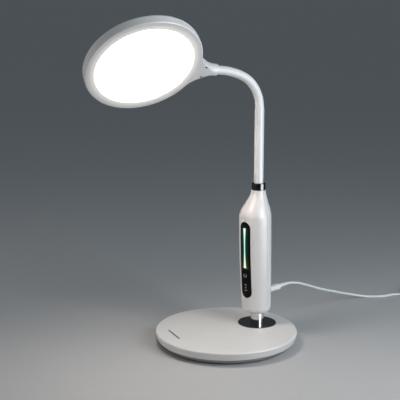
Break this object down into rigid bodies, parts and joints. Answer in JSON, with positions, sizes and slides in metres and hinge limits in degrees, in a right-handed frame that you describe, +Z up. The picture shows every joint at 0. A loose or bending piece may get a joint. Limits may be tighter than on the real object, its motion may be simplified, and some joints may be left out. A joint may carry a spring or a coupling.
{
  "type": "led desk lamp",
  "caption": "Desk lamp with a round LED light head on a flexible neck, a bottle-shaped column with a touch panel that turns on a weighted round base, and a USB lead.",
  "frame": {"origin": "centre of the base's underside, on the table", "axes": "+Z up, -Y towards the front of the lamp, where the head reaches; the column stands on +Y"},
  "size_m": [0.18, 0.5986, 0.4129],
  "materials": {
    "base_white": "fine satin texture",
    "shell_white": "gloss",
    "head_white": "satin",
    "base_dark": "fine texture",
    "pad_rubber": "matt",
    "ballast_iron": "as cast",
    "steel": "zinc plated",
    "black_mirror": "mirror polish",
    "black_chrome": "black chrome",
    "inner_plastic": "as moulded",
    "panel_black": "piano gloss",
    "bar_light": "translucent",
    "contact_brass": "plated",
    "board_green": "solder mask",
    "led_yellow": "phosphor",
    "socket_black": "as moulded",
    "tube_white": "satin paint",
    "neck_white": "satin sleeve",
    "diffuser_opal": "opal",
    "guide_clear": "clear",
    "sheet_white": "matt film",
    "cord_white": "smooth jacket",
    "plug_white": "as moulded",
    "tie_grey": "hook-and-loop strap"
  },
  "bodies": {
    "base": {"base_cover": "base_white", "base_plate": "base_dark", "base_pad": "pad_rubber", "ballast": "ballast_iron", "base_screws": "steel", "foot_plate": "black_mirror", "foot_neck": "black_chrome", "neck_nut": "steel", "retaining_washer": "steel", "swivel_screw": "steel", "cord_lead": "cord_white", "cord_coil": "cord_white", "coil_tie": "tie_grey", "cord_tail": "cord_white", "usb_body": "plug_white", "usb_shell": "steel", "usb_tongue": "plug_white"},
    "column": {"swivel_washer": "inner_plastic", "column_floor": "inner_plastic", "column_front": "shell_white", "column_back": "shell_white", "panel_lens": "panel_black", "light_bar": "bar_light", "touch_pads": "contact_brass", "control_board": "board_green", "mood_leds": "led_yellow", "power_socket": "socket_black", "cord_plug": "plug_white", "cord_relief": "plug_white", "collar": "black_chrome", "arm_tube": "tube_white", "tube_clamp": "inner_plastic", "clamp_screw": "steel", "neck_root": "neck_white"},
    "neck_link_1": {"neck_link_1": "neck_white"},
    "neck_link_2": {"neck_link_2": "neck_white"},
    "neck_link_3": {"neck_link_3": "neck_white"},
    "neck_link_4": {"neck_link_4": "neck_white"},
    "neck_link_5": {"neck_link_5": "neck_white"},
    "neck_link_6": {"neck_link_6": "neck_white"},
    "neck_link_7": {"neck_link_7": "neck_white"},
    "neck_link_8": {"neck_link_8": "neck_white"},
    "neck_link_9": {"neck_link_9": "neck_white"},
    "head": {"head_frame": "head_white", "head_back": "head_white", "diffuser": "diffuser_opal", "light_guide": "guide_clear", "reflector": "sheet_white", "led_strip": "sheet_white", "led_chips": "led_yellow", "head_screws": "steel"}
  },
  "joints": [
    {"name": "column_swivel", "type": "hinge", "parent": "base", "child": "column", "pos_m": [0, 0.048, 0.0365], "axis": [0, 0, 1], "range_deg": [-59, 31], "deforming": ["cord_lead"]},
    {"name": "neck_bend", "type": "hinge", "parent": "column", "child": "neck_link_1", "pos_m": [0, 0.04795, 0.2997], "axis": [0.9995, -0.0332, 0], "range_deg": [-16, 11]},
    {"name": "neck_sway", "type": "hinge", "parent": "neck_link_1", "child": "neck_link_2", "pos_m": [-0.00005, 0.04654, 0.30893], "axis": [-0.0321, -0.9664, -0.2552], "range_deg": [-12, 12]},
    {"name": "neck_bend_2", "type": "hinge", "parent": "neck_link_2", "child": "neck_link_3", "pos_m": [-0.00016, 0.04322, 0.31765], "axis": [0.9995, -0.0332, 0], "range_deg": [-16, 11]},
    {"name": "neck_sway_2", "type": "hinge", "parent": "neck_link_3", "child": "neck_link_4", "pos_m": [-0.00033, 0.03813, 0.32548], "axis": [-0.0257, -0.7751, -0.6313], "range_deg": [-12, 12]},
    {"name": "neck_bend_3", "type": "hinge", "parent": "neck_link_4", "child": "neck_link_5", "pos_m": [-0.00055, 0.0315, 0.33205], "axis": [0.9995, -0.0332, 0], "range_deg": [-16, 11]},
    {"name": "neck_sway_3", "type": "hinge", "parent": "neck_link_5", "child": "neck_link_6", "pos_m": [-0.00081, 0.02364, 0.33708], "axis": [-0.0148, -0.4459, -0.895], "range_deg": [-12, 12]},
    {"name": "neck_bend_4", "type": "hinge", "parent": "neck_link_6", "child": "neck_link_7", "pos_m": [-0.00109, 0.01502, 0.34069], "axis": [0.9995, -0.0332, 0], "range_deg": [-16, 11]},
    {"name": "neck_sway_4", "type": "hinge", "parent": "neck_link_7", "child": "neck_link_8", "pos_m": [-0.00139, 0.00608, 0.34341], "axis": [-0.0081, -0.2432, -0.9699], "range_deg": [-12, 12]},
    {"name": "neck_bend_5", "type": "hinge", "parent": "neck_link_8", "child": "neck_link_9", "pos_m": [-0.00169, -0.00308, 0.34523], "axis": [0.9995, -0.0332, 0], "range_deg": [-16, 11]},
    {"name": "head_roll", "type": "hinge", "parent": "neck_link_9", "child": "head", "pos_m": [-0.002, -0.01236, 0.34633], "axis": [-0.0329, -0.9932, 0.1115], "range_deg": [-107.4, 12.6]}
  ],
  "couplings": [
    {"joint": "neck_bend_2", "follows": "neck_bend", "ratio": 1},
    {"joint": "neck_sway_2", "follows": "neck_sway", "ratio": 1},
    {"joint": "neck_bend_3", "follows": "neck_bend", "ratio": 1},
    {"joint": "neck_sway_3", "follows": "neck_sway", "ratio": 1},
    {"joint": "neck_bend_4", "follows": "neck_bend", "ratio": 1},
    {"joint": "neck_sway_4", "follows": "neck_sway", "ratio": 1},
    {"joint": "neck_bend_5", "follows": "neck_bend", "ratio": 1}
  ]
}
